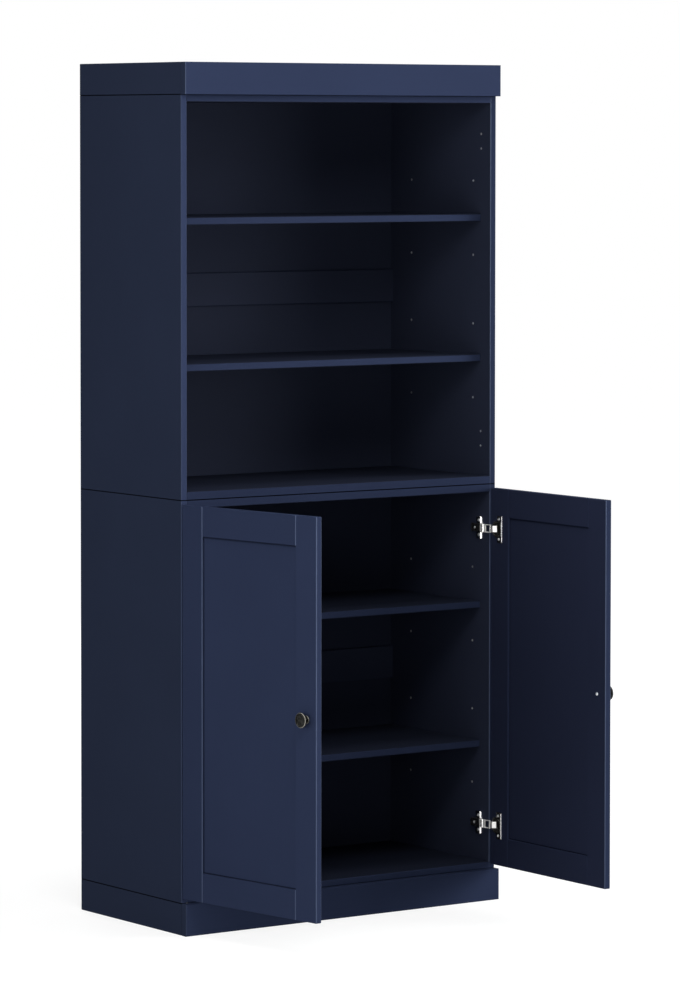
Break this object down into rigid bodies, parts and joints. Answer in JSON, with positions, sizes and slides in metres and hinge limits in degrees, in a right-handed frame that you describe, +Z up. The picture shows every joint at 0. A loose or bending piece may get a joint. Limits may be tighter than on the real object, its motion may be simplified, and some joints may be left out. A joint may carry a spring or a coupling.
{
  "type": "bookcase with cabinet doors",
  "caption": "Tall two-part bookcase: open shelves above a cupboard with framed doors on concealed hinges, round knobs, a plinth and a square cornice.",
  "frame": {"origin": "on the floor under the middle stretcher of the plinth, at the middle of the width and of the carcass and plinth depth", "axes": "+Z up, +Y to the rear (the wall), doors and open shelves face -Y, +X to the right of someone facing the doors"},
  "size_m": [0.92, 0.8845, 2],
  "materials": {
    "lacquer": "satin navy lacquer",
    "hinge_metal": "bright nickel plate",
    "bright_metal": "plain steel",
    "zinc": "zinc plate",
    "knob_brass": "antique brass, brushed and darkened"
  },
  "bodies": {
    "carcass": {"lower_left_side": "lacquer", "lower_right_side": "lacquer", "lower_bottom_deck": "lacquer", "lower_top_deck": "lacquer", "lower_low_shelf": "lacquer", "lower_high_shelf": "lacquer", "lower_low_back": "lacquer", "lower_high_back": "lacquer", "lower_back_rail": "lacquer", "upper_left_side": "lacquer", "upper_right_side": "lacquer", "upper_bottom_deck": "lacquer", "upper_top_deck": "lacquer", "upper_low_shelf": "lacquer", "upper_high_shelf": "lacquer", "upper_low_back": "lacquer", "upper_high_back": "lacquer", "upper_back_rail": "lacquer", "plinth_front": "lacquer", "plinth_left": "lacquer", "plinth_right": "lacquer", "plinth_rear": "lacquer", "plinth_stretcher": "lacquer", "cornice_front": "lacquer", "cornice_left": "lacquer", "cornice_right": "lacquer", "cornice_rear": "lacquer", "cornice_cap": "lacquer", "shelf_pins": "bright_metal", "cam_locks": "zinc", "cam_bolts": "zinc", "unit_screws": "zinc", "hinge_plates": "hinge_metal", "hinge_arms": "hinge_metal", "plate_screws": "hinge_metal"},
    "left_door": {"left_door_hinge_stile": "lacquer", "left_door_free_stile": "lacquer", "left_door_bottom_rail": "lacquer", "left_door_top_rail": "lacquer", "left_door_field": "lacquer", "left_knob": "knob_brass", "left_knob_screw": "zinc", "left_hinge_cups": "hinge_metal", "left_cup_screws": "hinge_metal"},
    "right_door": {"right_door_hinge_stile": "lacquer", "right_door_free_stile": "lacquer", "right_door_bottom_rail": "lacquer", "right_door_top_rail": "lacquer", "right_door_field": "lacquer", "right_knob": "knob_brass", "right_knob_screw": "zinc", "right_hinge_cups": "hinge_metal", "right_cup_screws": "hinge_metal"},
    "left_links": {"left_hinge_links": "hinge_metal"},
    "right_links": {"right_hinge_links": "hinge_metal"}
  },
  "joints": [
    {"name": "left_door_hinge", "type": "hinge", "parent": "carcass", "child": "left_door", "pos_m": [-0.4433, -0.2177, 0], "axis": [0, 0, -1], "range_deg": [-82, 23]},
    {"name": "right_door_hinge", "type": "hinge", "parent": "carcass", "child": "right_door", "pos_m": [0.4433, -0.2177, 0], "axis": [0, 0, 1], "range_deg": [-89, 16]},
    {"name": "left_link_pivot", "type": "hinge", "parent": "carcass", "child": "left_links", "pos_m": [-0.4305, -0.2133, 0], "axis": [0, 0, -1], "range_deg": [-95.2, 26.8]},
    {"name": "right_link_pivot", "type": "hinge", "parent": "carcass", "child": "right_links", "pos_m": [0.4305, -0.2133, 0], "axis": [0, 0, 1], "range_deg": [-103.3, 18.6]}
  ],
  "couplings": [
    {"joint": "left_link_pivot", "follows": "left_door_hinge", "ratio": 1.16},
    {"joint": "right_link_pivot", "follows": "right_door_hinge", "ratio": 1.16}
  ]
}
